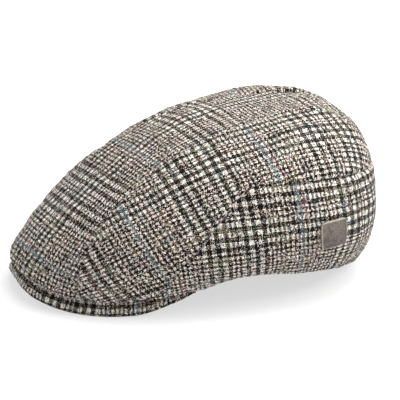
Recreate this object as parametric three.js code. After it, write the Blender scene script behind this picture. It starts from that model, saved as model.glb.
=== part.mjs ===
// A flat cap with its ear flap turned up inside, resting on its peak and its rear hem.
// Millimetres, +Z up. The front points to -Y and the wearer's left to +X.
// A place on the crown is a bearing, in degrees from the front towards the wearer's left,
// and a climb, from 0 at the lower edge to 1 at the apex.
import * as THREE from 'three';

// Driving sizes
const CLOTH = 2.2; // tweed with its backing
const SEAM_GAP = 0.3; // left open between two neighbouring panels
const HALVES_Y = 48.5; // where the front and back halves of the plan meet
const APEX = { y: 29.2, z: 118.5 };
const TUCK = 0.18; // climb of the widest line
const TUCK_BEND = 0.4; // how far down the wall starts to turn under the widest line
const HEM_CLIMB = 0.04; // below this climb the wall's thickness turns level
const SETTLE = 0.6; // how far the cloth is pressed flat where it rests

// Plan outlines: reach from HALVES_Y to each side, to the front and to the back, and how
// much the front and back quarters are squared.
const WIDEST = { side: 96.5, front: 179, back: 89.8, frontSquare: 0.009, backSquare: 0.077 };
const LOWER_EDGE = { side: 85.4, front: 177.5, back: 80.1, frontSquare: 0.025, backSquare: 0.023 };

// Wall of the crown at five bearings: heights of the lower edge and of the widest line,
// straight rise above that line, and the flat top's share of the plan.
const WALL = [
  { bearing: 0, edge: 19.7, widest: 20.5, rise: 11.1, flat: 0.45 },
  { bearing: 45, edge: 10, widest: 28.6, rise: 33.7, flat: 0.454 },
  { bearing: 90, edge: 23.9, widest: 45.6, rise: 64.1, flat: 0.415 },
  { bearing: 135, edge: 5.3, widest: 48, rise: 81.5, flat: 0.47 },
  { bearing: 180, edge: 0.1, widest: 52.8, rise: 82.6, flat: 0.541 },
];

// Seam between the centre panel and the left side panel, from the peak to the rear band.
const TOP_SEAM = [
  { bearing: 35.6, climb: 0 },
  { bearing: 35.4, climb: 0.19 },
  { bearing: 35, climb: 0.345 },
  { bearing: 35.4, climb: 0.475 },
  { bearing: 39.3, climb: 0.608 },
  { bearing: 48, climb: 0.7 },
  { bearing: 59.5, climb: 0.756 },
  { bearing: 71.5, climb: 0.79 },
  { bearing: 87.2, climb: 0.815 },
  { bearing: 104, climb: 0.824 },
  { bearing: 120, climb: 0.821 },
  { bearing: 141.5, climb: 0.781 },
  { bearing: 152, climb: 0.72 },
  { bearing: 158.6, climb: 0.61 },
  { bearing: 162.5, climb: 0.49 },
  { bearing: 165.5, climb: 0.308 },
];
const REAR_CORNER = 0.72; // share of the top seam's length at the side panel's rear corner
const SEAM_PACE = { until: 0.6, reached: 0.4 }; // shares of the band's seam cut more closely

// Seam over the rear band, from the lower edge by the peak's corner to the middle of the back.
const BAND_SEAM = [
  { bearing: 57, climb: 0 },
  { bearing: 60.3, climb: 0.088 },
  { bearing: 63.3, climb: 0.192 },
  { bearing: 68.5, climb: 0.27 },
  { bearing: 73.5, climb: 0.37 },
  { bearing: 77.5, climb: 0.432 },
  { bearing: 81.5, climb: 0.457 },
  { bearing: 90, climb: 0.428 },
  { bearing: 104.8, climb: 0.397 },
  { bearing: 120, climb: 0.372 },
  { bearing: 136, climb: 0.337 },
  { bearing: 152, climb: 0.318 },
  { bearing: 165.5, climb: 0.308 },
  { bearing: 180, climb: 0.305 },
];
const BAND_START = 0.01; // share of the seam's length at which the band is first cut

// Peak: a covered board whose nose shows under the crown. Its forehead edge is half an ellipse.
const PEAK = {
  corner: 68,
  board: 3.6,
  cornerBoard: 1.4,
  out: 4.3,
  drop: 8.3,
  gap: 0.45,
  fadeFrom: 52.5,
  fadeTo: 70.7,
  nose: 0.14,
  bevel: 0.25,
  bulge: 3,
  forehead: { side: 73, y: -15, depth: 65, middleZ: 47, cornerZ: 20.5 },
};

// Ear flap turned up inside the rear band.
const FLAP = { start: 73, cloth: 2, gap: 0.6, hemClimb: 0.02, height: 50, endShare: 0.3, endTurn: 16 };

// Badge on the left of the rear band: half sizes in its own plane and raised border.
const BADGE = {
  bearing: 108.6,
  climb: 0.2,
  half: 10.7,
  lean: 2.9,
  cornerPull: 0.12,
  gap: 0.3,
  field: 1.3,
  border: 1.9,
  grid: [-1, -0.95, -0.87, -0.8, -0.4, 0, 0.4, 0.8, 0.87, 0.95, 1],
  borderFrom: 0.85,
  borderTo: 0.97,
  rounds: 5, // corrections that bring each place to its true distance from the middle
};

// Grid cells of the crown panels across the cap and along its seams.
const GRID = { across: 10, along: 32 };
const NORTH_FADE = 3; // how fast a panel's rear edge stops bending the rows ahead of it

const TWEED = { color: 0x86807a, roughness: 0.95, metalness: 0 };
const FLAP_WOOL = { color: 0x5b534c, roughness: 0.97, metalness: 0 };
const EMBOSSED_LEATHER = { color: 0x857c76, roughness: 0.6, metalness: 0 };

const { lerp, degToRad, radToDeg, smoothstep } = THREE.MathUtils;
const DISC_STEP = 1e-3; // small step for slopes, in disc units

/** Even, smooth curve through one column of the wall table. */
function wall(column, angle) {
  const here = Math.cos(angle);
  const nodes = WALL.map((row) => Math.cos(degToRad(row.bearing)));
  return WALL.reduce((sum, row, i) => {
    const others = nodes.filter((node, j) => j !== i);
    const weight = others.reduce((w, node) => w * (here - node) / (nodes[i] - node), 1);
    return sum + row[column] * weight;
  }, 0);
}

/** Point of a plan outline at an angle from the front. */
function plan(outline, angle) {
  const s = Math.sin(angle);
  const c = Math.cos(angle);
  const reach = c > 0 ? outline.front : outline.back;
  const square = 1 + (c > 0 ? outline.frontSquare : outline.backSquare) * (2 * s * c) ** 2;
  return new THREE.Vector2(outline.side * s * square, HALVES_Y - reach * c * square);
}

/** Point on the outside of the crown. */
function crownPoint(angle, climb) {
  const wide = plan(WIDEST, angle);
  const wideZ = wall('widest', angle);
  if (climb < TUCK) {
    const t = 1 - climb / TUCK;
    const inward = t * t;
    const down = 2 * t * (1 - t) * TUCK_BEND + t * t;
    const low = plan(LOWER_EDGE, angle);
    const z = lerp(wideZ, wall('edge', angle), down);
    return new THREE.Vector3(lerp(wide.x, low.x, inward), lerp(wide.y, low.y, inward), z);
  }
  const s = (climb - TUCK) / (1 - TUCK);
  const start = (1 - s) ** 3;
  const rise = 3 * s * (1 - s) ** 2;
  const flat = 3 * s * s * (1 - s);
  const reach = start + rise + flat * wall('flat', angle);
  const z = start * wideZ + rise * (wideZ + wall('rise', angle)) + (flat + s ** 3) * APEX.z;
  return new THREE.Vector3(wide.x * reach, APEX.y + (wide.y - APEX.y) * reach, z);
}

// The crown is laid out on a disc: the lower edge is the unit circle and the apex its middle.

/** Disc point of a bearing in degrees and a climb. */
function onDisc(bearing, climb) {
  const angle = degToRad(bearing);
  return new THREE.Vector2(Math.sin(angle), -Math.cos(angle)).multiplyScalar(1 - climb);
}

/** Bearing of a disc point in degrees, from 0 to 360. */
function bearingOf(at) {
  return (radToDeg(Math.atan2(at.x, -at.y)) + 360) % 360;
}

/** Crown point of a disc point. */
function crownAt(at) {
  return crownPoint(Math.atan2(at.x, -at.y), 1 - at.length());
}

/** Slopes of a surface along its two coordinates. */
function slopes(surface, at) {
  const along = new THREE.Vector2(DISC_STEP, 0);
  const across = new THREE.Vector2(0, DISC_STEP);
  return [along, across].map((step) => {
    const ahead = surface(at.clone().add(step));
    return ahead.sub(surface(at.clone().sub(step))).divideScalar(2 * DISC_STEP);
  });
}

/** Outward normal of a surface. */
function normalAt(surface, at) {
  const [along, across] = slopes(surface, at);
  return along.cross(across).normalize();
}

/** Thickness direction of the crown's wall: its normal, turned level at the hem. */
function crownOut(at) {
  const normal = normalAt(crownAt, at);
  normal.z *= smoothstep(1 - at.length(), 0, HEM_CLIMB);
  return normal.normalize();
}

/** Closed geometry from triangles, turned so that its faces point outward. */
function closedGeometry(points, triangles) {
  const volume = triangles.reduce((sum, [a, b, c]) => {
    return sum + points[a].dot(points[b].clone().cross(points[c]));
  }, 0);
  const turned = volume < 0 ? triangles.map(([a, b, c]) => [a, c, b]) : triangles;
  const geometry = new THREE.BufferGeometry();
  const positions = points.flatMap((p) => [p.x, p.y, Math.max(p.z - SETTLE, 0)]);
  geometry.setAttribute('position', new THREE.Float32BufferAttribute(positions, 3));
  geometry.setIndex(turned.flat());
  return geometry;
}

/** Solid over a grid of surface coordinates, between heights top(at) and base(at). */
function sheet({ surface, out, grid, top, base }) {
  const last = { i: grid.length - 1, j: grid[0].length - 1 };
  const layer = (height) => grid.flat().map((at) => {
    return surface(at).addScaledVector(out(at), height(at));
  });
  const points = [...layer(top), ...layer(base)];
  const id = (side, i, j) => side * grid.length * grid[0].length + i * grid[0].length + j;
  const triangles = [];
  const quad = (a, b, c, d) => triangles.push([a, b, c], [a, c, d]);
  const border = [];
  for (let i = 0; i < last.i; i += 1) {
    for (let j = 0; j < last.j; j += 1) {
      quad(id(0, i, j), id(0, i, j + 1), id(0, i + 1, j + 1), id(0, i + 1, j));
      quad(id(1, i, j), id(1, i + 1, j), id(1, i + 1, j + 1), id(1, i, j + 1));
    }
  }
  for (let j = 0; j < last.j; j += 1) border.push([0, j]);
  for (let i = 0; i < last.i; i += 1) border.push([i, last.j]);
  for (let j = last.j; j > 0; j -= 1) border.push([last.i, j]);
  for (let i = last.i; i > 0; i -= 1) border.push([i, 0]);
  border.forEach(([i, j], k) => {
    const [m, n] = border[(k + 1) % border.length];
    quad(id(0, m, n), id(0, i, j), id(1, i, j), id(1, m, n));
  });
  return closedGeometry(points, triangles);
}

/** Numbers from one value to another in equal steps. */
function steps(count, from = 0, to = 1) {
  return Array.from({ length: count + 1 }, (unused, i) => lerp(from, to, i / count));
}

/** Grid ruled from west to east, and bent to follow its south and north edges. */
function patch({ south, north, west, east, columns, rows }) {
  const bow = (curve, u) => curve(u).sub(curve(0).lerp(curve(1), u));
  return columns.map((u) => rows.map((v) => {
    const at = west(v).lerp(east(v), u);
    return at.addScaledVector(bow(south, u), 1 - v).addScaledVector(bow(north, u), v ** NORTH_FADE);
  }));
}

/** A seam as a smooth curve on the disc. */
class Seam {
  constructor(rows) {
    this.curve = new THREE.SplineCurve(rows.map((row) => onDisc(row.bearing, row.climb)));
  }

  /** Sideways step from the seam to a panel's edge; side is 1 to the left of travel. */
  step(t, side) {
    const at = this.curve.getPointAt(t);
    const travel = this.curve.getTangentAt(t);
    const [along, across] = slopes(crownAt, at);
    const speed = (d) => along.clone().multiplyScalar(d.x).addScaledVector(across, d.y);
    const aside = new THREE.Vector2(-travel.y, travel.x).multiplyScalar(side);
    const width = speed(aside).cross(speed(travel).normalize()).length();
    return aside.multiplyScalar(SEAM_GAP / 2 / width);
  }

  /** Edge of the panel on one side of the seam. */
  beside(t, side) {
    return this.curve.getPointAt(t).add(this.step(t, side));
  }

  /** Place along the seam, from 0 to 1, at a bearing in degrees. */
  atBearing(bearing) {
    let [low, high] = [0, 1];
    for (let i = 0; i < 30; i += 1) {
      const middle = (low + high) / 2;
      if (bearingOf(this.curve.getPointAt(middle)) < bearing) low = middle;
      else high = middle;
    }
    return low;
  }
}

const topSeam = new Seam(TOP_SEAM);
const bandSeam = new Seam(BAND_SEAM);
const mirror = (at) => new THREE.Vector2(-at.x, at.y);
const junction = bandSeam.atBearing(TOP_SEAM.at(-1).bearing);
const CENTRE_SIDE = 1;
const FLANK_SIDE = -1;
const BELOW = -1;
const ABOVE = 1;

/** Arc between two disc points, even in bearing and in climb. */
function arc(from, to, toBearing = bearingOf(to)) {
  const start = bearingOf(from);
  return (u) => onDisc(lerp(start, toBearing, u), 1 - lerp(from.length(), to.length(), u));
}

/** The same curve with its far end moved to a given point. */
function endingAt(curve, end) {
  return (t) => (t === 1 ? end.clone() : curve(t));
}

/** Pace along the band's seam that keeps the side panel's grid square to its seams. */
function slowThenFast(v) {
  const { until, reached } = SEAM_PACE;
  return v < until ? v * reached / until : lerp(reached, 1, (v - until) / (1 - until));
}

// Neighbouring panels are cut at the same places along the seam between them.
const TOP_STOPS = [...steps(GRID.along, 0, REAR_CORNER), ...steps(GRID.across, REAR_CORNER, 1).slice(1)];
const BACK_STOPS = steps(GRID.across / 2, TOP_SEAM.at(-1).bearing, 180).map((b) => bandSeam.atBearing(b));
const FLANK_STOPS = steps(GRID.along).map((v) => junction * slowThenFast(v));
const BAND_STOPS = [...FLANK_STOPS, ...BACK_STOPS.slice(1)];

/** Grid of the centre panel, from the front to the rear band. */
function centreGrid() {
  const rear = topSeam.beside(1, CENTRE_SIDE).add(bandSeam.step(junction, ABOVE));
  const left = endingAt((t) => topSeam.beside(t, CENTRE_SIDE), rear);
  const front = left(0);
  const half = [rear, ...BACK_STOPS.slice(1).map((t) => bandSeam.beside(t, ABOVE))];
  const whole = [...half.map(mirror), ...half.slice(0, -1).reverse()];
  return patch({
    south: arc(mirror(front), front, bearingOf(front) + 360),
    north: (u) => whole[Math.round(u * GRID.across)].clone(),
    west: (v) => mirror(left(v)),
    east: left,
    columns: steps(GRID.across),
    rows: TOP_STOPS,
  });
}

/** Grid of the left side panel, between the top seam and the band's seam. */
function flankGrid() {
  const tip = topSeam.beside(1, FLANK_SIDE).add(bandSeam.step(junction, ABOVE));
  const top = (t) => topSeam.beside(t, FLANK_SIDE);
  const band = endingAt((v) => bandSeam.beside(junction * slowThenFast(v), ABOVE), tip);
  return patch({
    south: arc(top(0), band(0)),
    north: endingAt((u) => top(lerp(REAR_CORNER, 1, u)), tip),
    west: (v) => top(v * REAR_CORNER),
    east: band,
    columns: steps(GRID.across),
    rows: steps(GRID.along),
  });
}

/** Grid of the rear band, from one peak corner round the back to the other. */
function bandGrid(rows) {
  const start = bearingOf(bandSeam.beside(BAND_START, BELOW));
  const half = BAND_STOPS.map((stop) => {
    const seam = bandSeam.beside(Math.max(stop, BAND_START), BELOW);
    const bottom = onDisc(lerp(start, 180, stop), 0);
    return steps(rows).map((v) => bottom.clone().lerp(seam, v));
  });
  const other = half.slice(0, -1).reverse().map((column) => column.map(mirror));
  return [...half, ...other];
}

/** A crown panel over a grid. */
function panel(grid) {
  return sheet({ surface: crownAt, out: crownOut, grid, top: () => 0, base: () => -CLOTH });
}

/** How far the nose of the peak shows, from 1 in front to 0 by its corners. */
function lipShare(share) {
  return 1 - smoothstep(Math.abs(share) * PEAK.corner, PEAK.fadeFrom, PEAK.fadeTo);
}

/** Point on the peak's upper face: x runs corner to corner, y from the nose inward. */
function peakAt(at) {
  const angle = degToRad(PEAK.corner * at.x);
  const edge = crownPoint(angle, 0);
  const out = crownOut(onDisc(radToDeg(angle), 0));
  const lip = lipShare(at.x);
  const nose = edge.clone().addScaledVector(out, PEAK.out * lip);
  nose.z -= lerp(PEAK.gap, PEAK.drop, lip);
  const under = edge.clone().addScaledVector(out, -CLOTH);
  under.z -= PEAK.gap;
  if (at.y < PEAK.nose) return nose.lerp(under, at.y / PEAK.nose);
  const { side, y, depth, middleZ, cornerZ } = PEAK.forehead;
  const turn = at.x * Math.PI / 2;
  const z = lerp(cornerZ, middleZ, Math.cos(turn));
  const forehead = new THREE.Vector3(side * Math.sin(turn), y - depth * Math.cos(turn), z);
  const inward = (at.y - PEAK.nose) / (1 - PEAK.nose);
  const point = under.lerp(forehead, inward);
  point.z += PEAK.bulge * 4 * inward * (1 - inward) * Math.cos(turn);
  return point;
}

/** The peak's board, thinner towards its corners and bevelled at its nose. */
function peak(columns, rows) {
  const across = [0, PEAK.nose / 3, ...steps(rows).map((v) => lerp(PEAK.nose, 1, v))];
  const grid = steps(columns).map((u) => across.map((v) => new THREE.Vector2(2 * u - 1, v)));
  const board = (at) => lerp(PEAK.cornerBoard, PEAK.board, lipShare(at.x));
  const bevel = (at) => (at.y === 0 ? PEAK.bevel : 0) * board(at);
  return sheet({
    surface: peakAt,
    out: (at) => normalAt(peakAt, at),
    grid,
    top: (at) => -bevel(at),
    base: (at) => bevel(at) - board(at),
  });
}

/** Climb reached after a distance up the wall from the lower edge. */
function climbAfter(angle, distance) {
  const stride = 0.005;
  let climb = 0;
  let walked = 0;
  while (walked < distance) {
    walked += crownPoint(angle, climb).distanceTo(crownPoint(angle, climb + stride));
    climb += stride;
  }
  return climb;
}

/** The ear flap, lying against the inside of the rear band with rounded ends. */
function earFlap(columns, rows) {
  const grid = steps(columns).map((u) => {
    const bearing = lerp(FLAP.start, 360 - FLAP.start, u);
    const fromEnd = Math.min(bearing, 360 - bearing) - FLAP.start;
    const rounded = Math.sin(Math.min(fromEnd / FLAP.endTurn, 1) * Math.PI / 2);
    const height = FLAP.height * lerp(FLAP.endShare, 1, rounded);
    const top = climbAfter(degToRad(bearing), height);
    return steps(rows).map((v) => onDisc(bearing, lerp(FLAP.hemClimb, top, v)));
  });
  const depth = CLOTH + FLAP.gap;
  return sheet({
    surface: crownAt,
    out: crownOut,
    grid,
    top: () => -depth,
    base: () => -depth - FLAP.cloth,
  });
}

/** The badge: a plate bent to the band, with rounded corners and a raised border. */
function badge() {
  const centre = onDisc(BADGE.bearing, BADGE.climb);
  const middle = crownAt(centre);
  const [along, across] = slopes(crownAt, centre);
  const normal = normalAt(crownAt, centre);
  const level = new THREE.Vector3(0, 0, 1).cross(normal).normalize();
  level.applyAxisAngle(normal, degToRad(BADGE.lean));
  const upright = normal.clone().cross(level);
  const [aa, ab, bb] = [along.dot(along), along.dot(across), across.dot(across)];
  const discStep = (direction) => {
    const [da, db] = [along.dot(direction), across.dot(direction)];
    return new THREE.Vector2(bb * da - ab * db, aa * db - ab * da).divideScalar(aa * bb - ab * ab);
  };
  const [levelStep, uprightStep] = [discStep(level), discStep(upright)];
  const surface = (at) => {
    const pulled = BADGE.half * (1 - BADGE.cornerPull * (at.x * at.y) ** 4);
    const place = centre.clone();
    for (let round = 0; round < BADGE.rounds; round += 1) {
      const reached = crownAt(place).sub(middle);
      place.addScaledVector(levelStep, at.x * pulled - reached.dot(level));
      place.addScaledVector(uprightStep, at.y * pulled - reached.dot(upright));
    }
    return crownAt(place);
  };
  const border = (at) => {
    const reach = Math.max(Math.abs(at.x), Math.abs(at.y));
    return reach > BADGE.borderFrom && reach < BADGE.borderTo;
  };
  return sheet({
    surface,
    out: (at) => normalAt(surface, at),
    grid: BADGE.grid.map((x) => BADGE.grid.map((y) => new THREE.Vector2(x, y))),
    top: (at) => (border(at) ? BADGE.border : BADGE.field),
    base: () => BADGE.gap,
  });
}

const flank = flankGrid();
const PIECES = [
  { name: 'centre_panel', look: TWEED, geometry: panel(centreGrid()) },
  { name: 'left_side_panel', look: TWEED, geometry: panel(flank) },
  { name: 'right_side_panel', look: TWEED, geometry: panel(flank.map((row) => row.map(mirror))) },
  { name: 'rear_band', look: TWEED, geometry: panel(bandGrid(9)) },
  { name: 'peak', look: TWEED, geometry: peak(36, 6) },
  { name: 'ear_flap', look: FLAP_WOOL, geometry: earFlap(48, 6) },
  { name: 'badge', look: EMBOSSED_LEATHER, geometry: badge() },
];

const cap = new THREE.Group();
cap.name = 'flat_cap';
for (const { name, look, geometry } of PIECES) {
  const mesh = new THREE.Mesh(geometry, new THREE.MeshStandardMaterial(look));
  mesh.name = name;
  cap.add(mesh);
}
const middle = new THREE.Box3().setFromObject(cap).getCenter(new THREE.Vector3());
for (const mesh of cap.children) {
  mesh.geometry.translate(-middle.x, -middle.y, 0);
  mesh.geometry.computeVertexNormals();
}

export default cap;
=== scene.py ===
"""A checked tweed flat cap with a peak under its front and an ear flap turned up inside.

The shapes are worked out in millimetres in the pattern's own axes: the front points to -Y, the
wearer's left to +X and the crown up +Z. A place on the crown is a bearing in degrees from the front
towards the wearer's left and a climb from 0 at the lower edge to 1 at the apex; laid out flat, the
lower edge is the unit circle of a disc and the apex its middle.
"""

import logging
import math
from dataclasses import dataclass, field, replace
from enum import Enum
from typing import Callable

import bpy
import numpy as np
from mathutils import Matrix, Vector


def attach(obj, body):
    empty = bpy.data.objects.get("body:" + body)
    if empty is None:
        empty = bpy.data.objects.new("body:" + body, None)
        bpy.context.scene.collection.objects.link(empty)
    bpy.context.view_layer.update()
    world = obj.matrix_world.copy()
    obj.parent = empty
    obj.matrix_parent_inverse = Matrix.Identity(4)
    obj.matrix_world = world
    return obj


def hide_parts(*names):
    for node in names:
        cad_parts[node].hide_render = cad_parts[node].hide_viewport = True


Array = np.ndarray
Socket = bpy.types.NodeSocket
Value = float | Socket
Colour = tuple[float, float, float]
Curve = Callable[[Array], Array]
Material = bpy.types.Material
Object = bpy.types.Object

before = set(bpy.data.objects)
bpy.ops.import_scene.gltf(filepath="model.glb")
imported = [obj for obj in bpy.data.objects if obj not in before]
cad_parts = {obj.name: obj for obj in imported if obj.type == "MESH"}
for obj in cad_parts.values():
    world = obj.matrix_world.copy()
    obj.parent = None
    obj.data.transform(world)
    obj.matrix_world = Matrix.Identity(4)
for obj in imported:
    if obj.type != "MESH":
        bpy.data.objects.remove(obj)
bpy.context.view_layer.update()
METRES = 1e-3
YARN_MAP = "yarns"
LOG = logging.getLogger("flat_cap")


# Sums on arrays of points


def unit(vectors: Array) -> Array:
    """Vectors scaled to length one."""
    return vectors / np.linalg.norm(vectors, axis=-1, keepdims=True)


def lerp(start: Array | float, end: Array | float, share: Array | float) -> Array | float:
    """Value at a share of the way from start to end."""
    return start + (end - start) * share


def smoothstep(low: float, high: float, at: Array | float) -> Array:
    """Smooth step from 0 at low to 1 at high."""
    t = np.clip((np.asarray(at, float) - low) / (high - low), 0, 1)
    return t * t * (3 - 2 * t)


def crowded_ends(count: int, crowding: float = 0.88) -> Array:
    """Stations round count cells from 0 to 1, closer towards both ends the nearer crowding is to 1."""
    t = np.linspace(0, 1, count + 1)
    return t - crowding * np.sin(2 * math.pi * t) / (2 * math.pi)


def grid_of(columns: Array, rows: Array) -> Array:
    """Grid of all pairs of a column's and a row's value, (n, m, 2)."""
    return np.stack(np.meshgrid(columns, rows, indexing="ij"), -1)


def cell_corners(grid: Array) -> tuple[Array, Array, Array, Array]:
    """The four corners of each cell of a grid, going round it."""
    return grid[:-1, :-1], grid[1:, :-1], grid[1:, 1:], grid[:-1, 1:]


def walked(points: Array, axis: int) -> Array:
    """Distance walked along one axis of a grid of points, from its first row.

    Args:
        points: Grid of points, (n, m, 3).
        axis: 0 to walk from the first column to the last, 1 from the first row to the last.

    Returns:
        Distances, (n, m).
    """
    steps = np.linalg.norm(np.diff(points, axis=axis), axis=-1)
    start = np.zeros_like(steps[:1] if axis == 0 else steps[:, :1])
    return np.concatenate([start, np.cumsum(steps, axis=axis)], axis=axis)


def between_stations(grid: Array, columns: Array, rows: Array) -> Array:
    """Values of an even grid read at any columns and rows, each given from 0 to 1.

    Args:
        grid: Values on an even grid, (n, m, k).
        columns: Wanted places along the first axis.
        rows: Wanted places along the second axis.

    Returns:
        Values, (len(columns), len(rows), k).
    """
    x = columns * (grid.shape[0] - 1)
    y = rows * (grid.shape[1] - 1)
    i = np.clip(np.floor(x).astype(int), 0, grid.shape[0] - 2)
    j = np.clip(np.floor(y).astype(int), 0, grid.shape[1] - 2)
    s = (x - i)[:, None, None]
    t = (y - j)[None, :, None]
    low = lerp(grid[np.ix_(i, j)], grid[np.ix_(i + 1, j)], s)
    high = lerp(grid[np.ix_(i, j + 1)], grid[np.ix_(i + 1, j + 1)], s)
    return lerp(low, high, t)


# The crown's shape


@dataclass(frozen=True)
class PlanOutline:
    """Outline seen from above: reach to each side, to the front and to the back, and how square it is."""

    side: float
    front: float
    back: float
    front_square: float
    back_square: float

    def at(self, angle: Array, halves_y: float) -> Array:
        """Points of the outline.

        Args:
            angle: Angles from the front, in radians.
            halves_y: Where the front half meets the back half.

        Returns:
            x and y, (..., 2).
        """
        s, c = np.sin(angle), np.cos(angle)
        reach = np.where(c > 0, self.front, self.back)
        square = 1 + np.where(c > 0, self.front_square, self.back_square) * (2 * s * c) ** 2
        return np.stack([self.side * s * square, halves_y - reach * c * square], -1)


@dataclass(frozen=True)
class Crown:
    """Outside of the cap's crown, and the places of its seams' disc on it."""

    halves_y: float = 48.5
    apex_y: float = 29.2
    apex_z: float = 118.5
    tuck: float = 0.18
    tuck_bend: float = 0.4
    hem_climb: float = 0.04
    widest: PlanOutline = PlanOutline(96.5, 179, 89.8, 0.009, 0.077)
    lower_edge: PlanOutline = PlanOutline(85.4, 177.5, 80.1, 0.025, 0.023)
    bearings: tuple[float, ...] = (0, 45, 90, 135, 180)
    edge_heights: tuple[float, ...] = (19.7, 10, 23.9, 5.3, 0.1)
    widest_heights: tuple[float, ...] = (20.5, 28.6, 45.6, 48, 52.8)
    rises: tuple[float, ...] = (11.1, 33.7, 64.1, 81.5, 82.6)
    flat_shares: tuple[float, ...] = (0.45, 0.454, 0.415, 0.47, 0.541)
    frame_middle: tuple[float, float, float] = (-0.431, 2.844, 0.6)

    def around(self, values: tuple[float, ...], angle: Array) -> Array:
        """Even, smooth curve through one value per bearing.

        Args:
            values: Value at each of the bearings.
            angle: Wanted angles, in radians.

        Returns:
            Values at the wanted angles.
        """
        here = np.cos(angle)
        nodes = np.cos(np.radians(self.bearings))
        total = np.zeros_like(here)
        for i, value in enumerate(values):
            others = np.delete(nodes, i)
            total = total + value * np.prod([(here - n) / (nodes[i] - n) for n in others], axis=0)
        return total

    def point(self, angle: Array, climb: Array) -> Array:
        """Points on the outside of the crown.

        Args:
            angle: Angles from the front, in radians.
            climb: 0 at the lower edge, 1 at the apex.

        Returns:
            Points, (..., 3).
        """
        angle, climb = np.broadcast_arrays(np.asarray(angle, float), np.asarray(climb, float))
        wide = self.widest.at(angle, self.halves_y)
        low = self.lower_edge.at(angle, self.halves_y)
        wide_z = self.around(self.widest_heights, angle)
        t = 1 - climb / self.tuck
        down = 2 * t * (1 - t) * self.tuck_bend + t * t
        under_z = lerp(wide_z, self.around(self.edge_heights, angle), down)
        under = np.concatenate([lerp(wide, low, (t * t)[..., None]), under_z[..., None]], -1)
        s = (climb - self.tuck) / (1 - self.tuck)
        start, rise, flat = (1 - s) ** 3, 3 * s * (1 - s) ** 2, 3 * s * s * (1 - s)
        reach = start + rise + flat * self.around(self.flat_shares, angle)
        risen = wide_z + self.around(self.rises, angle)
        over_z = start * wide_z + rise * risen + (flat + s**3) * self.apex_z
        apex = np.array([0, self.apex_y])
        over = np.concatenate([apex + (wide - apex) * reach[..., None], over_z[..., None]], -1)
        return np.where((climb < self.tuck)[..., None], under, over)

    def at(self, place: Array) -> Array:
        """Points of the crown at places of the disc."""
        return self.point(np.arctan2(place[..., 0], -place[..., 1]), 1 - np.hypot(*np.moveaxis(place, -1, 0)))

    def outward(self, place: Array) -> Array:
        """Thickness direction of the wall: its normal, turned level at the hem."""
        normal = normal_of(self.at, place)
        climb = 1 - np.hypot(place[..., 0], place[..., 1])
        normal[..., 2] *= smoothstep(0, self.hem_climb, climb)
        return unit(normal)

    def in_frame(self, points: Array) -> Array:
        """Points of the pattern in the frame's metres, pressed flat where they meet the surface below."""
        moved = points - np.array(self.frame_middle)
        moved[..., 2] = np.maximum(moved[..., 2], 0)
        return moved * METRES


def slopes(surface: Curve, place: Array, step: float = 1e-3) -> tuple[Array, Array]:
    """Slopes of a surface at places, (..., 2), along its two coordinates."""
    along, across = np.array([step, 0]), np.array([0, step])
    return (
        (surface(place + along) - surface(place - along)) / (2 * step),
        (surface(place + across) - surface(place - across)) / (2 * step),
    )


def normal_of(surface: Curve, place: Array) -> Array:
    """Outward unit normals of a surface."""
    return unit(np.cross(*slopes(surface, place)))


def on_disc(bearing: Array | float, climb: Array | float) -> Array:
    """Places of the disc at bearings in degrees and climbs."""
    angle = np.radians(bearing)
    return np.stack([np.sin(angle), -np.cos(angle)], -1) * (1 - np.asarray(climb, float))[..., None]


def bearing_of(place: Array) -> Array:
    """Bearings of disc places, from 0 to 360 degrees."""
    return np.degrees(np.arctan2(place[..., 0], -place[..., 1])) % 360


CROWN = Crown()
CROWN_CLOTH = 2.2
MIRROR = np.array([-1, 1])
AT_END = 1 - 1e-9


@dataclass
class Seam:
    """A seam as a smooth curve on the disc, charted as bearing and climb."""

    chart: tuple[tuple[float, float], ...]
    gap: float = 0.1
    nudge: float = 1e-4
    stations: Array = field(init=False)
    knots: Array = field(init=False)
    table: Array = field(init=False)
    travel: Array = field(init=False)

    def __post_init__(self) -> None:
        """Walks the curve once so that places along it can be looked up."""
        rows = np.array(self.chart, float)
        self.knots = on_disc(rows[:, 0], rows[:, 1])
        self.stations = np.linspace(0, 1, 2001)
        self.table = self.spline(self.stations)
        steps = np.linalg.norm(np.diff(self.table, axis=0), axis=1)
        self.travel = np.concatenate([[0], np.cumsum(steps)]) / steps.sum()

    def spline(self, t: Array) -> Array:
        """Catmull-Rom curve through the knots."""
        count = len(self.knots)
        x = np.asarray(t, float) * (count - 1)
        i = np.clip(np.floor(x).astype(int), 0, count - 2)
        w = (x - i)[..., None]
        before, here = self.knots[np.maximum(i - 1, 0)], self.knots[i]
        after, beyond = self.knots[i + 1], self.knots[np.minimum(i + 2, count - 1)]
        v0, v1 = (after - before) / 2, (beyond - here) / 2
        cubic = (2 * here - 2 * after + v0 + v1) * w**3
        return cubic + (-3 * here + 3 * after - 2 * v0 - v1) * w**2 + v0 * w + here

    def at(self, share: Array) -> Array:
        """Places at shares of the seam's length."""
        return self.spline(np.interp(share, self.travel, self.stations))

    def step(self, share: Array, side: int) -> Array:
        """Sideways step from the seam to a panel's edge; side is 1 to the left of travel."""
        ahead, behind = self.at(np.minimum(share + self.nudge, 1)), self.at(np.maximum(share - self.nudge, 0))
        travel = unit(ahead - behind)
        along, across = slopes(CROWN.at, self.at(share))
        aside = np.stack([-travel[..., 1], travel[..., 0]], -1) * side
        speeds = [along * d[..., :1] + across * d[..., 1:] for d in (aside, travel)]
        width = np.linalg.norm(np.cross(speeds[0], unit(speeds[1])), axis=-1)
        return aside * (self.gap / 2 / width)[..., None]

    def beside(self, share: Array, side: int) -> Array:
        """Edge of the panel on one side of the seam."""
        return self.at(share) + self.step(share, side)

    def at_bearing(self, bearing: Array | float) -> Array:
        """Shares of the seam's length at which it has the given bearings."""
        return np.interp(bearing, bearing_of(self.table), self.travel)


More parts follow.
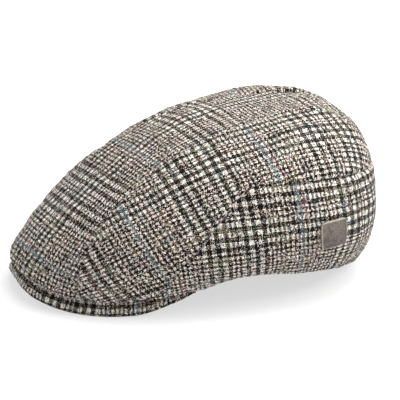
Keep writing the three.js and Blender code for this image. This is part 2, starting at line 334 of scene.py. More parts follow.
TOP_SEAM = Seam(
    (
        (35.6, 0), (35.4, 0.19), (35, 0.345), (35.4, 0.475), (39.3, 0.608), (48, 0.7),
        (59.5, 0.756), (71.5, 0.79), (87.2, 0.815), (104, 0.824), (120, 0.821), (141.5, 0.781),
        (152, 0.72), (158.6, 0.61), (162.5, 0.49), (165.5, 0.308),
    )
)
BAND_SEAM = Seam(
    (
        (57, 0), (60.3, 0.088), (63.3, 0.192), (68.5, 0.27), (73.5, 0.37), (77.5, 0.432),
        (81.5, 0.457), (90, 0.428), (104.8, 0.397), (120, 0.372), (136, 0.337), (152, 0.318),
        (165.5, 0.308), (180, 0.305),
    )
)
JUNCTION_BEARING = 165.5
JUNCTION = float(BAND_SEAM.at_bearing(JUNCTION_BEARING))
LEFT_OF_TRAVEL, RIGHT_OF_TRAVEL = 1, -1


def junction_corner(side: int) -> Array:
    """Corner of the panel on one side of the top seam, where that seam meets the band's."""
    return TOP_SEAM.beside(np.array(1.0), side) + BAND_SEAM.step(np.array(JUNCTION), LEFT_OF_TRAVEL)


def cornered(edge: Array, share: Array, corner: Array) -> Array:
    """Places of an edge, with a shared corner where its share of the way reaches 1."""
    return np.where((share > AT_END)[..., None], corner, edge)



@dataclass(frozen=True)
class FlatPattern:
    """Flattens a panel with as little stretch as it allows, so that the check keeps its true size."""

    rounds: int = 60
    least_weight: float = 0.02
    least_area: float = 1e-9

    def corners(self, points: Array) -> tuple[Array, Array, Array]:
        """Triangles of a grid, their corners laid flat, and the weight of each corner's far side.

        Args:
            points: Grid of points, (n, m, 3).

        Returns:
            Point numbers (t, 3), flat corners (t, 3, 2) and weights (t, 3).
        """
        n, m, _ = points.shape
        ids = np.arange(n * m).reshape(n, m)
        a, b, c, d = cell_corners(ids)
        halves = [(a, b, c), (a, c, d), (a, b, d), (c, d, b)]
        triangles = np.concatenate([np.stack(h, -1).reshape(-1, 3) for h in halves])
        corner = points.reshape(-1, 3)[triangles]
        side, other = corner[:, 1] - corner[:, 0], corner[:, 2] - corner[:, 0]
        first = unit(side)
        second = np.cross(unit(np.cross(first, other)), first)
        flat = np.zeros((len(triangles), 3, 2))
        flat[:, 1, 0] = np.linalg.norm(side, axis=1)
        flat[:, 2, 0] = (other * first).sum(1)
        flat[:, 2, 1] = (other * second).sum(1)
        u, v = (np.roll(flat, -k, 1) - flat for k in (1, 2))
        area = np.abs(u[..., 0] * v[..., 1] - u[..., 1] * v[..., 0])
        weights = np.maximum((u * v).sum(-1) / np.maximum(area, self.least_area), self.least_weight)
        return triangles, flat, weights

    def lay(self, points: Array) -> Array:
        """Flat places of a grid of points.

        Args:
            points: Grid of points on the panel, (n, m, 3).

        Returns:
            Flat places in millimetres, (n, m, 2).
        """
        n, m, _ = points.shape
        triangles, flat, weights = self.corners(points)
        i, j = (np.roll(triangles, -k, 1) for k in (1, 2))
        rest = np.roll(flat, -1, 1) - np.roll(flat, -2, 1)
        ties = np.zeros((n * m, n * m))
        for row, column, sign in ((i, j, -1), (j, i, -1), (i, i, 1), (j, j, 1)):
            np.add.at(ties, (row, column), sign * weights)
        ties[0, 0] += 1
        solved = np.linalg.inv(ties)
        along, across = walked(points, 0)[:, m // 2], walked(points, 1)[n // 2]
        laid = grid_of(along, across).reshape(-1, 2)
        for _ in range(self.rounds):
            spread = np.einsum("tk,tka,tkb->tab", weights, laid[i] - laid[j], rest)
            left, _, right = np.linalg.svd(spread)
            left[:, :, 1] *= np.sign(np.linalg.det(left @ right))[:, None]
            drawn = weights[..., None] * np.einsum("tab,tkb->tka", left @ right, rest)
            pull = np.zeros((n * m, 2))
            np.add.at(pull, i, drawn)
            np.add.at(pull, j, -drawn)
            laid = solved @ pull
        return laid.reshape(n, m, 2)


@dataclass(frozen=True)
class ClothLay:
    """How the checked cloth lies on a panel.

    Each mark is a place on the panel's grid, across and along from 0 to 1, and the numbers of the warp
    and weft yarns charted there.
    """

    marks: tuple[tuple[float, float, float, float], ...]
    bent: bool = True
    start: tuple[float, float] = (0, 0)
    unit_length: float = 100

    def terms(self, flat: Array) -> Array:
        """Terms of the bend at flat places, (..., 6), or (..., 3) for straight yarns."""
        x, y = np.moveaxis(flat / self.unit_length, -1, 0)
        straight = [np.ones_like(x), x, y]
        return np.stack(straight + ([x * x, x * y, y * y] if self.bent else []), -1)

    def numbers(self, pattern: Array, flat: Array) -> Array:
        """Warp and weft numbers at flat places.

        Args:
            pattern: The panel's flat pattern on its even grid, (n, m, 2).
            flat: Flat places, (..., 2).

        Returns:
            Numbers, (..., 2).
        """
        chart = np.array(self.marks, float)
        pinned = [between_stations(pattern, row[:1], row[1:2])[0, 0] for row in chart]
        bend = np.linalg.lstsq(self.terms(np.array(pinned)), chart[:, 2:], rcond=None)[0]
        return self.terms(flat) @ bend + self.start


CENTRE_LAY = ClothLay(
    (
        (0.1, 0.05, 92, 82), (0.1, 0.3, 35, 102), (0.1, 0.6, -131, 145), (0.1, 0.9, -244, 168),
        (0.5, 0.05, 109, 137), (0.5, 0.3, 65, 143), (0.5, 0.6, -108, 170), (0.5, 0.9, -236, 193),
        (0.97, 0.05, 104, 216), (0.97, 0.3, 40, 206), (0.97, 0.6, -123, 209), (0.97, 0.9, -231, 225),
    )
)
SIDE_LAY = ClothLay(
    (
        (0.05, 0.08, 32, 98), (0.05, 0.35, -2, 57), (0.05, 0.65, -99, 14), (0.05, 0.95, -193, 5),
        (0.5, 0.08, 8, 112), (0.5, 0.35, -37, 78), (0.5, 0.65, -136, 50), (0.5, 0.95, -235, 27),
        (0.95, 0.08, -19, 125), (0.95, 0.35, -73, 99), (0.95, 0.65, -164, 79), (0.95, 0.95, -272, 51),
    )
)
BAND_LAY = ClothLay(
    (
        (0.05, 0.1, 178, 84), (0.05, 0.95, 200, 101), (0.2, 0.1, 68, 96), (0.2, 0.95, 92, 168),
        (0.35, 0.1, -5, 80), (0.35, 0.95, 2, 162),
    ),
    bent=False,
)


# Cloth surfaces


@dataclass(frozen=True)
class Relief:
    """Gentle swells and hollows of steamed cloth, the same for every layer at one place."""

    height: float = 0.5
    waves: int = 16
    shortest: float = 24
    longest: float = 70
    seed: int = 11

    def at(self, points: Array) -> Array:
        """Heights in millimetres at points of the pattern."""
        dice = np.random.default_rng(self.seed)
        total = np.zeros(points.shape[:-1])
        for _ in range(self.waves):
            heading = unit(dice.normal(size=3))
            length = dice.uniform(self.shortest, self.longest)
            total += np.sin(points @ heading * (2 * math.pi / length) + dice.uniform(0, 2 * math.pi))
        return total * self.height / math.sqrt(self.waves / 2)


@dataclass(frozen=True)
class SeamPull:
    """What a plain seam does to the cloth beside it: a dip, the turnings' ridge and small puckers."""

    dip: float = 0.45
    dip_width: float = 2.6
    ridge: float = 0.3
    ridge_from: float = 4.2
    ridge_width: float = 2.2
    pucker: float = 0.16
    pucker_length: float = 8.5
    pucker_reach: float = 7
    sway: float = 1.7
    sway_length: float = 13

    def at(self, distance: Array, along: Array) -> Array:
        """Heights beside a seam.

        Args:
            distance: Distance from the seam.
            along: Distance walked along the seam.

        Returns:
            Heights in millimetres.
        """
        sway = self.sway * np.sin(along / self.sway_length)
        wave = np.sin(2 * math.pi * along / self.pucker_length + sway)
        ridge = self.ridge * np.exp(-(((distance - self.ridge_from) / self.ridge_width) ** 2))
        dip = self.dip * np.exp(-((distance / self.dip_width) ** 2))
        return ridge - dip + self.pucker * wave * np.exp(-distance / self.pucker_reach)


@dataclass(frozen=True)
class HemSag:
    """Where the lower edge of band and flap is drawn up or hangs lower, as the cloth lies at rest."""

    chart: tuple[tuple[float, float], ...] = (
        (66, 0), (70, 0.6), (74, 2.2), (78, 3.6), (81, 3.2), (84, 1.4),
        (88, -1.4), (93, -2.6), (99, -2.4), (105, -1.9), (111, -0.4), (117, 1.6),
        (123, 3), (129, 4.5), (135, 5.1), (145, 5), (152, 2.5), (158, 0),
    )
    reach: float = 0.36

    def at(self, bearing: Array, rows: Array) -> Array:
        """Heights in millimetres at bearings, fading over the rows from the hem upwards."""
        from_front = 180 - np.abs(180 - bearing)
        return np.interp(from_front, *zip(*self.chart)) * np.clip(1 - rows / self.reach, 0, 1) ** 2


RELIEF = Relief()
NUBS = Relief(height=0.17, waves=24, shortest=2.6, longest=6, seed=5)
SEAM_PULL = SeamPull()
HEM_SAG = HemSag()


class Edge(Enum):
    """The four sides of a panel's grid."""

    WEST = "first column"
    EAST = "last column"
    SOUTH = "first row"
    NORTH = "last row"


def edge_walks(points: Array) -> dict[Edge, tuple[Array, Array]]:
    """Distance of each grid point from each edge, and how far along that edge it lies.

    Args:
        points: Grid of points, (n, m, 3).

    Returns:
        For each edge, two (n, m) arrays.
    """
    i, j = walked(points, 0), walked(points, 1)
    return {
        Edge.WEST: (i, np.broadcast_to(j[:1], i.shape)),
        Edge.EAST: (i[-1:] - i, np.broadcast_to(j[-1:], i.shape)),
        Edge.SOUTH: (j, np.broadcast_to(i[:, :1], i.shape)),
        Edge.NORTH: (j[:, -1:] - j, np.broadcast_to(i[:, -1:], i.shape)),
    }


@dataclass
class ClosedCloth:
    """A closed wall of cloth over a grid, with folded edges all round."""

    face: Array
    out: Array
    thickness: Array
    yarns: Array

    def folded(self) -> tuple[Array, Array]:
        """The wall's outer and inner faces, drawn together in a round fold at the edges."""
        nearest = np.min([distance for distance, _ in edge_walks(self.face).values()], axis=0)
        radius = self.thickness / 2
        half = np.sqrt(np.maximum(radius**2 - (radius - np.minimum(nearest, radius)) ** 2, 0))
        middle = self.face - self.out * radius[..., None]
        return middle + self.out * half[..., None], middle - self.out * half[..., None]

    def build(self, name: str) -> Object:
        """Makes the closed mesh.

        Args:
            name: The piece's name.

        Returns:
            The object, in place in the frame.
        """
        outer, inner = self.folded()
        n, m, _ = outer.shape
        top = np.arange(n * m).reshape(n, m)
        base = top.copy()
        base[1:-1, 1:-1] = n * m + np.arange((n - 2) * (m - 2)).reshape(n - 2, m - 2)
        points = np.concatenate([outer.reshape(-1, 3), inner[1:-1, 1:-1].reshape(-1, 3)])
        numbers = np.concatenate([self.yarns.reshape(-1, 2), self.yarns[1:-1, 1:-1].reshape(-1, 2)])
        over, under = (np.stack(cell_corners(grid), -1).reshape(-1, 4) for grid in (top, base))
        quads = np.concatenate([over, under[:, ::-1]])
        a, b, c, d = (points[quads[:, k]] for k in range(4))
        volume = np.einsum("ij,ij->", a, np.cross(b, c)) + np.einsum("ij,ij->", a, np.cross(c, d))
        quads = quads if volume > 0 else quads[:, ::-1]
        return mesh_piece(name, CROWN.in_frame(points), quads, numbers)


def mesh_piece(name: str, points: Array, quads: Array, numbers: Array) -> Object:
    """Smooth mesh with its yarn numbers as a map.

    Args:
        name: The piece's name.
        points: Points in metres, (p, 3).
        quads: Point numbers of each face, (q, 4).
        numbers: Yarn numbers of each point, (p, 2).

    Returns:
        The new object.
    """
    mesh = bpy.data.meshes.new(name)
    mesh.from_pydata(points.tolist(), [], quads.tolist())
    mesh.validate()
    mesh.shade_smooth()
    layer = mesh.uv_layers.new(name=YARN_MAP)
    layer.data.foreach_set("uv", numbers[quads.ravel()].astype(np.float32).ravel())
    piece = bpy.data.objects.new(name, mesh)
    bpy.context.scene.collection.objects.link(piece)
    return piece


# Finishes


class Graph:
    """A material's node tree, put together one sum at a time."""

    def __init__(self, name: str) -> None:
        """Starts a material with an empty tree."""
        self.material = bpy.data.materials.new(name)
        self.material.use_nodes = True
        self.tree = self.material.node_tree
        self.tree.nodes.clear()

    def node(self, kind: str, inputs: dict[int | str, Value | Colour], **settings: object) -> bpy.types.Node:
        """Adds a node, makes its settings and fills its inputs.

        Args:
            kind: The node's type.
            inputs: For each numbered or named input another node's output, a number or a colour.
            **settings: The node's own settings.

        Returns:
            The new node.
        """
        made = self.tree.nodes.new(kind)
        for name, value in settings.items():
            setattr(made, name, value)
        for key, value in inputs.items():
            socket = made.inputs[key]
            if isinstance(value, bpy.types.NodeSocket):
                self.tree.links.new(value, socket)
            elif isinstance(value, tuple) and len(socket.default_value) == 4:
                socket.default_value = (*value, 1)
            else:
                socket.default_value = value
        return made

    def math(self, operation: str, *values: Value) -> Socket:
        """A sum of one to three numbers."""
        return self.node("ShaderNodeMath", dict(enumerate(values)), operation=operation).outputs[0]

    def fit(self, value: Value, scale: Value, offset: Value) -> Socket:
        """A number times the scale, plus the offset."""
        return self.math("MULTIPLY_ADD", value, scale, offset)

    def times(self, first: Value, second: Value) -> Socket:
        """Product of two numbers."""
        return self.math("MULTIPLY", first, second)

    def within(self, value: Socket, repeat: float) -> Socket:
        """Rest of a number within a repeat."""
        return self.math("FLOORED_MODULO", value, repeat)

    def mix(self, share: Value, first: Value, second: Value) -> Socket:
        """Number at a share of the way from the first to the second."""
        return self.node("ShaderNodeMix", {0: share, 2: first, 3: second}, data_type="FLOAT").outputs[0]

    def blend(self, share: Value, first: Value | Colour, second: Value | Colour, how: str = "MIX") -> Socket:
        """Colour at a share of the way from the first to the second."""
        inputs = {0: share, 6: first, 7: second}
        return self.node("ShaderNodeMix", inputs, data_type="RGBA", blend_type=how).outputs[2]

    def vector(self, *parts: Value) -> Socket:
        """Vector of two or three numbers."""
        return self.node("ShaderNodeCombineXYZ", dict(enumerate(parts))).outputs[0]

    def object_place(self) -> Socket:
        """Place on the piece, in metres."""
        return self.node("ShaderNodeTexCoord", {}).outputs["Object"]

    def map_numbers(self) -> tuple[Socket, Socket]:
        """The two numbers of the piece's map."""
        numbers = self.node("ShaderNodeUVMap", {}, uv_map=YARN_MAP).outputs[0]
        parts = self.node("ShaderNodeSeparateXYZ", {0: numbers}).outputs
        return parts[0], parts[1]

    def noise(self, place: Socket, scale: float, detail: float = 2.0, roughness: float = 0.5) -> Socket:
        """Smooth noise from about 0.25 to 0.75."""
        inputs = {"Vector": place, "Scale": scale, "Detail": detail, "Roughness": roughness}
        return self.node("ShaderNodeTexNoise", inputs).outputs["Fac"]

    def dice(self, place: Socket) -> tuple[Socket, Socket]:
        """An even random number and colour for each distinct place."""
        made = self.node("ShaderNodeTexWhiteNoise", {"Vector": place}, noise_dimensions="3D")
        return made.outputs["Value"], made.outputs["Color"]

    def pick(self, at: Value, colours: tuple[Colour, ...]) -> Socket:
        """One of several colours, each over an even part of the way from 0 to 1."""
        made = self.node("ShaderNodeValToRGB", {0: at})
        made.color_ramp.interpolation = "CONSTANT"
        stops = made.color_ramp.elements
        while len(stops) < len(colours):
            stops.new(0.5)
        for i, colour in enumerate(colours):
            stops[i].position = i / len(colours)
            stops[i].color = (*colour, 1)
        return made.outputs[0]

    def bump(self, height: Value, distance: float, strength: float = 1.0) -> Socket:
        """Surface normal bent by a height from 0 to 1 over a distance in metres."""
        inputs = {"Strength": strength, "Distance": distance, "Height": height}
        return self.node("ShaderNodeBump", inputs).outputs[0]

    def finish(self, colour: Value | Colour, normal: Socket, **sockets: Value | Colour) -> Material:
        """Ends the tree in one surface shader.

        Args:
            colour: Base colour.
            normal: Bent normal.
            **sockets: Other inputs of the shader, with _ for a space.

        Returns:
            The material.
        """
        inputs = {"Base Color": colour, "Normal": normal}
        inputs |= {name.replace("_", " "): value for name, value in sockets.items()}
        shader = self.node("ShaderNodeBsdfPrincipled", inputs)
        self.node("ShaderNodeOutputMaterial", {0: shader.outputs[0]})
        return self.material


def paint(code: str) -> Colour:
    """Linear colour of a six-digit screen colour."""
    parts = [int(code[i : i + 2], 16) / 255 for i in (0, 2, 4)]
    return tuple(p / 12.92 if p <= 0.04045 else ((p + 0.055) / 1.055) ** 2.4 for p in parts)


@dataclass(frozen=True)
class TweedFinish:
    """Plain-woven glen check of 120 yarns each way, in dark and light wool.

    Noises are given as scale and strength. Strays are chances in the fine zones and in the coarse ones,
    the overcheck's strength is its share in the warp and in the weft, and the flecks' rarity is that of
    light and of dark crossings.
    """

    repeat: float = 120.0
    coarse_zones: tuple[tuple[int, int], ...] = ((0, 24), (32, 56))
    overcheck: float = 89.0
    overcheck_reach: float = 1.1
    overcheck_strength: tuple[float, float] = (0.85, 0.15)
    overcheck_least: float = 0.35
    light_width: float = 0.3
    unevenness: tuple[float, float] = (0.45, 2.0)
    stray_dark: tuple[float, float] = (0.22, 0.1)
    stray_light: tuple[float, float] = (0.88, 0.985)
    stray_cover: tuple[float, float] = (0.8, 0.55)
    wander: tuple[float, float] = (95.0, 1.5)
    weft_wander_scale: float = 101.0
    kinks: tuple[float, float] = (6.5, 1.7)
    dive: float = 0.7
    dark: Colour = paint("100d0b")
    dark_fine: Colour = paint("1c1613")
    light: Colour = paint("efebe1")
    light_fine: Colour = paint("ede1d7")
    blue: Colour = paint("7797a1")
    flecks: tuple[Colour, ...] = tuple(
        paint(code) for code in ("c9cf96", "d59d9b", "7b3a35", "5c7f92", "d3ac80", "6f8f73")
    )
    fleck_rarity: tuple[float, float] = (0.88, 0.94)
    fleck_strength: float = 0.6
    streak_length: float = 22.0
    streak_shift: float = 7.3
    streak_rarity: float = 0.9
    streak_strength: float = 0.4
    crossing_shade: tuple[float, float] = (0.8, 0.6)
    slubs: tuple[float, float] = (0.21, 0.36)
    blotches: tuple[float, float] = (38.0, 0.24)
    fibres: tuple[float, float] = (0.62, 1.5)
    noises_mean: float = 0.95
    painted_hollow_shade: float = 0.38
    nap_scale: float = 2.6
    relief: float = 0.00032

    def material(self) -> Material:
        """The cloth's material, which reads the yarn numbers from the piece."""
        g = Graph("checked_tweed")
        place = g.object_place()
        warp, weft = g.map_numbers()
        warp = self.wandering(g, place, warp, self.wander[0])
        weft = self.wandering(g, place, weft, self.weft_wander_scale)
        warp_no, weft_no = g.math("FLOOR", warp), g.math("FLOOR", weft)
        warp_part, weft_part = g.math("FRACT", warp), g.math("FRACT", weft)
        weft_up = self.weft_on_top(g, warp_no, weft_no)
        yarn = g.mix(weft_up, warp_no, weft_no)
        across = g.fit(g.mix(weft_up, warp_part, weft_part), 2.0, -1.0)
        along = g.fit(g.mix(weft_up, weft_part, warp_part), 2.0, -1.0)
        height = self.yarn_height(g, across, along)
        random, tint = g.dice(g.vector(warp_no, weft_no))
        dark, coarse = self.dark_share(g, yarn)
        under, _ = self.dark_share(g, g.mix(weft_up, weft_no, warp_no))
        gap = g.math("GREATER_THAN", g.math("ABSOLUTE", across), self.light_width)
        dark = self.with_strays(g, g.math("MAXIMUM", dark, g.times(under, gap)), coarse, random)
        lights = g.blend(coarse, self.light_fine, self.light)
        colour = g.blend(dark, lights, g.blend(coarse, self.dark_fine, self.dark))
        colour = self.with_overcheck(g, colour, yarn, weft_up, random)
        colour = self.with_tint(g, colour, tint, g.mix(dark, *self.fleck_rarity), self.fleck_strength)
        colour = self.with_streaks(g, colour, yarn, g.mix(weft_up, weft, warp), weft_up)
        colour = self.with_tone_and_painted_shade(g, colour, random, height, g.vector(warp, weft), place)
        nap = g.noise(g.vector(warp, weft), self.nap_scale, 3.0, 0.65)
        return g.finish(
            colour,
            g.bump(g.fit(nap, 0.5, height), self.relief, 0.85),
            Roughness=0.93,
            Specular_IOR_Level=0.18,
            Sheen_Weight=0.06,
            Sheen_Roughness=0.25,
            Sheen_Tint=paint("f2ede6"),
        )

    def wandering(self, g: Graph, place: Socket, number: Socket, scale: float) -> Socket:
        """Lets the yarns wander slowly, and kink from one crossing to the next."""
        _, wander = self.wander
        finer, kink = self.kinks
        slow = g.fit(g.noise(place, scale, 1.0), wander, -wander / 2)
        kinks = g.fit(g.noise(place, scale * finer, 2.0, 0.6), kink, -kink / 2)
        return g.math("ADD", number, g.math("ADD", slow, kinks))

    def weft_on_top(self, g: Graph, warp_no: Socket, weft_no: Socket) -> Socket:
        """Whether the weft is the upper yarn: every second crossing, and where it is spun thicker."""
        turn = g.within(g.math("ADD", warp_no, weft_no), 2.0)
        scale, strength = self.unevenness
        thick = g.noise(g.vector(warp_no, weft_no), scale, 2.0, 0.6)
        return g.math("GREATER_THAN", g.fit(thick, strength, turn), 0.5 + strength / 2)

    def yarn_height(self, g: Graph, across: Socket, along: Socket) -> Socket:
        """Height of the upper yarn: round across it, and sinking where it dives under the next."""
        round_off = g.math("SUBTRACT", 1.0, g.times(across, across))
        dive = g.math("POWER", g.math("ABSOLUTE", along), 4.0)
        return g.times(round_off, g.math("SUBTRACT", 1.0, g.times(dive, self.dive)))

    def dark_share(self, g: Graph, yarn: Socket) -> tuple[Socket, Socket]:
        """Whether a yarn is dark, and whether it lies in a coarse zone, as numbers 0 or 1."""
        number = g.within(yarn, self.repeat)
        coarse: Value = 0.0
        for low, high in self.coarse_zones:
            inside = g.math("COMPARE", number, (low + high - 1) / 2, (high - low) / 2)
            coarse = g.math("MAXIMUM", coarse, inside)
        by_four = g.math("LESS_THAN", g.within(yarn, 8.0), 3.5)
        by_two = g.math("LESS_THAN", g.within(yarn, 4.0), 1.5)
        return g.mix(coarse, by_two, by_four), coarse

    def with_strays(self, g: Graph, dark: Socket, coarse: Socket, random: Socket) -> Socket:
        """Turns stray crossings dark or light, as the fibres of the other wool show through."""
        stray_dark = g.math("LESS_THAN", random, g.mix(coarse, *self.stray_dark))
        stray_light = g.math("GREATER_THAN", random, g.mix(coarse, *self.stray_light))
        dark_cover, light_cover = self.stray_cover
        dark = g.math("MAXIMUM", dark, g.times(stray_dark, dark_cover))
        return g.math("MINIMUM", dark, g.fit(stray_light, -light_cover, 1.0))

    def with_overcheck(
        self, g: Graph, colour: Socket, yarn: Socket, weft_up: Socket, random: Socket
    ) -> Socket:
        """Adds the blue yarns in the middle of the wide fine zone, stronger in the warp than in the weft."""
        blue = g.math("COMPARE", g.within(yarn, self.repeat), self.overcheck, self.overcheck_reach)
        uneven = g.math("ADD", random, self.overcheck_least)
        strength = g.times(g.mix(weft_up, *self.overcheck_strength), uneven)
        return g.blend(g.times(blue, strength), colour, self.blue)

    def with_tint(self, g: Graph, colour: Socket, tint: Socket, rare_above: Value, strength: float) -> Socket:
        """Adds stray coloured fibres where a place's random tint is rare enough."""
        parts = g.node("ShaderNodeSeparateColor", {0: tint}).outputs
        rare = g.math("GREATER_THAN", parts[1], rare_above)
        return g.blend(g.times(rare, strength), colour, g.pick(parts[0], self.flecks))

    def with_streaks(self, g: Graph, colour: Socket, yarn: Socket, along: Socket, weft_up: Socket) -> Socket:
        """Tints a few lengths of yarn, as where a coloured roving was spun in."""
        length = g.math("FLOOR", g.math("DIVIDE", g.fit(yarn, self.streak_shift, along), self.streak_length))
        _, tint = g.dice(g.vector(yarn, length, weft_up))
        return self.with_tint(g, colour, tint, self.streak_rarity, self.streak_strength)

    def with_tone_and_painted_shade(
        self, g: Graph, colour: Socket, random: Socket, height: Socket, cloth: Socket, place: Socket
    ) -> Socket:
        """Varies each crossing's brightness at random, and darkens the yarns' hollows with painted shade."""
        shade = g.fit(random, *self.crossing_shade)
        for at, (scale, strength) in ((cloth, self.slubs), (place, self.blotches)):
            shade = g.fit(g.noise(at, scale), strength, shade)
        scale, strength = self.fibres
        shade = g.math("SUBTRACT", shade, self.noises_mean)
        shade = g.fit(g.noise(cloth, scale, 3.0, 0.7), strength, shade)
        # Painted shade: the colour is darkened where the upper yarn dives and between the yarns, standing in
        # for shadow in the weave's hollows.
        hollow = g.fit(g.math("POWER", height, 0.6), 1 - self.painted_hollow_shade, self.painted_hollow_shade)
        grey = g.node("ShaderNodeCombineColor", dict.fromkeys(range(3), g.times(shade, hollow)))
        return g.blend(1.0, colour, grey.outputs[0], "MULTIPLY")


@dataclass(frozen=True)
class FlapWoolFinish:
    """Dark brushed wool with a short nap, for the ear flap."""

    deep: Colour = paint("3b342f")
    pale: Colour = paint("6d635a")
    nap_scale: float = 1500.0
    tuft_scale: float = 330.0

    def material(self) -> Material:
        """The wool's material."""
        g = Graph("flap_wool")
        place = g.object_place()
        nap = g.noise(place, self.nap_scale, 4.0, 0.7)
        tufts = g.noise(place, self.tuft_scale, 3.0)
        paleness = g.fit(tufts, 0.7, g.times(nap, 0.4))
        return g.finish(
            g.blend(paleness, self.deep, self.pale),
            g.bump(g.fit(nap, 0.5, tufts), 0.0006),
            Roughness=0.97,
            Specular_IOR_Level=0.12,
            Sheen_Weight=0.35,
            Sheen_Roughness=0.5,
        )


@dataclass(frozen=True)
class PressedLeatherFinish:
    """Grey-brown pressed leather, painted pale along its raised border as a highlight, and darker towards its
    lower edge as painted shade.
    """

    shadow: Colour = paint("4c4244")
    body: Colour = paint("857b70")
    painted_highlight: Colour = paint("b9b1a2")
    rim_at: float = 0.93
    rim_sharpness: float = 14.0
    mottle_scale: float = 260.0
    grain_scale: float = 1500.0
    speckle_scale: float = 1100.0

    def material(self) -> Material:
        """The badge's material, which reads its place on the plate from the piece."""
        g = Graph("pressed_leather")
        place = g.object_place()
        x, y = g.map_numbers()
        reach = g.math("MAXIMUM", g.math("ABSOLUTE", x), g.math("ABSOLUTE", y))
        off_rim = g.math("ABSOLUTE", g.math("SUBTRACT", reach, self.rim_at))
        rim = g.math("MAXIMUM", g.math("SUBTRACT", 1.0, g.times(off_rim, self.rim_sharpness)), 0.0)
        mottle = g.noise(place, self.mottle_scale, 4.0, 0.6)
        grain = g.node("ShaderNodeTexVoronoi", {"Vector": place, "Scale": self.grain_scale})
        speckle = g.noise(place, self.speckle_scale, 2.0, 0.7)
        # Painted shade: the plate darkens from its body colour towards the shadow colour down to its lower
        # edge; the mottle and speckle are its own.
        mottle_and_painted_shade = g.fit(y, 0.3, g.fit(mottle, 1.6, -0.35))
        mottle_and_painted_shade = g.fit(speckle, 3.0, g.math("SUBTRACT", mottle_and_painted_shade, 1.5))
        # Painted highlight: the raised border is blended towards a pale colour, as where light catches it.
        rim_highlight_share = g.times(rim, g.fit(mottle, 1.2, 0.2))
        relief = g.fit(mottle, 0.7, g.times(grain.outputs["Distance"], 0.4))
        return g.finish(
            g.blend(rim_highlight_share, g.blend(mottle_and_painted_shade, self.shadow, self.body), self.painted_highlight),
            g.bump(relief, 0.00016),
            Roughness=g.fit(mottle, 0.3, 0.4),
            Specular_IOR_Level=0.4,
        )


@dataclass(frozen=True)
class FloorFinish:
    """Plain pale light table, whose glow keeps the shadow faint."""

    pale: Colour = (0.36, 0.36, 0.365)
    cloud: Colour = (0.33, 0.33, 0.34)
    glow: float = 0.62

    def material(self) -> Material:
        """The floor's material."""
        g = Graph("studio_floor")
        clouds = g.noise(g.object_place(), 3.0, 2.0)
        return g.finish(
            g.blend(g.times(clouds, 0.1), self.pale, self.cloud),
            g.bump(clouds, 0.0002, 0.1),
            Roughness=0.8,
            Specular_IOR_Level=0.2,
            Emission_Color=(1.0, 1.0, 1.0),
            Emission_Strength=self.glow,
        )


# Pieces of the cap


def wear_as(piece: Object, node: str, material: Material) -> Object:
    """Dresses a piece, lets it stand for its node of the frame, and gives it back."""
    piece.data.materials.append(material)
    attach(piece, "root")
    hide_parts(node)
    return piece


def arc(start: Array, end: Array, end_bearing: float) -> Curve:
    """Arc between two disc places, even in bearing and in climb."""
    from_bearing = float(bearing_of(start))
    near, far = np.linalg.norm(start), np.linalg.norm(end)
    return lambda u: on_disc(lerp(from_bearing, end_bearing, u), 1 - lerp(near, far, u))


@dataclass
class TweedPanel:
    """One panel of the crown: a grid of disc places between its four edges."""

    name: str
    tweed: Material
    lay: ClothLay
    cloth: float = CROWN_CLOTH
    cells: tuple[int, int] = (72, 270)
    pattern_cells: tuple[int, int] = (16, 40)
    seams: tuple[Edge, ...] = (Edge.WEST, Edge.EAST, Edge.NORTH)
    north_fade: float = 3
    mirrored: bool = False

    def places(self, columns: Array, rows: Array) -> Array:
        """Disc places of a grid, each coordinate from 0 to 1; each panel rules its own."""
        raise NotImplementedError

    def ruled(self, edges: dict[Edge, Curve], columns: Array, rows: Array) -> Array:
        """Grid ruled from west to east and bent to follow its south and north edges.

        Args:
            edges: Each edge's curve, from 0 to 1.
            columns: Stations from west to east.
            rows: Stations from south to north.

        Returns:
            Disc places, (n, m, 2).
        """
        ends = np.array([0.0, 1.0])
        u = columns[:, None]
        ruled = lerp(edges[Edge.WEST](rows)[None], edges[Edge.EAST](rows)[None], u[..., None])
        for edge, fade in ((Edge.SOUTH, 1 - rows), (Edge.NORTH, rows**self.north_fade)):
            first, last = edges[edge](ends)
            bow = edges[edge](columns) - lerp(first, last, u)
            ruled = ruled + bow[:, None] * fade[None, :, None]
        return ruled

    def yarn_numbers(self, columns: Array, rows: Array) -> Array:
        """Warp and weft numbers at the panel's grid, read from its flat pattern."""
        even = [np.linspace(0, 1, count + 1) for count in self.pattern_cells]
        flat = FlatPattern().lay(CROWN.at(self.places(*even)))
        return self.lay.numbers(flat, between_stations(flat, columns, rows))

    def surface(self, columns: Array, rows: Array) -> tuple[Array, Array]:
        """The panel's outer face and its thickness direction, with the cloth's relief."""
        place = self.places(columns, rows)
        face, out = CROWN.at(place), CROWN.outward(place)
        height = RELIEF.at(face) + NUBS.at(face)
        walks = edge_walks(face)
        for edge in self.seams:
            height = height + SEAM_PULL.at(*walks[edge])
        return face + out * height[..., None], out

    def build(self) -> Object:
        """Makes and dresses the panel."""
        columns, rows = (crowded_ends(count) for count in self.cells)
        face, out = self.surface(columns, rows)
        yarns = self.yarn_numbers(columns, rows)
        if self.mirrored:
            face, out = face * [-1, 1, 1], out * [-1, 1, 1]
        cloth = ClosedCloth(face, out, np.full(face.shape[:2], self.cloth), yarns)
        return wear_as(cloth.build(self.name + "_cloth"), self.name, self.tweed)


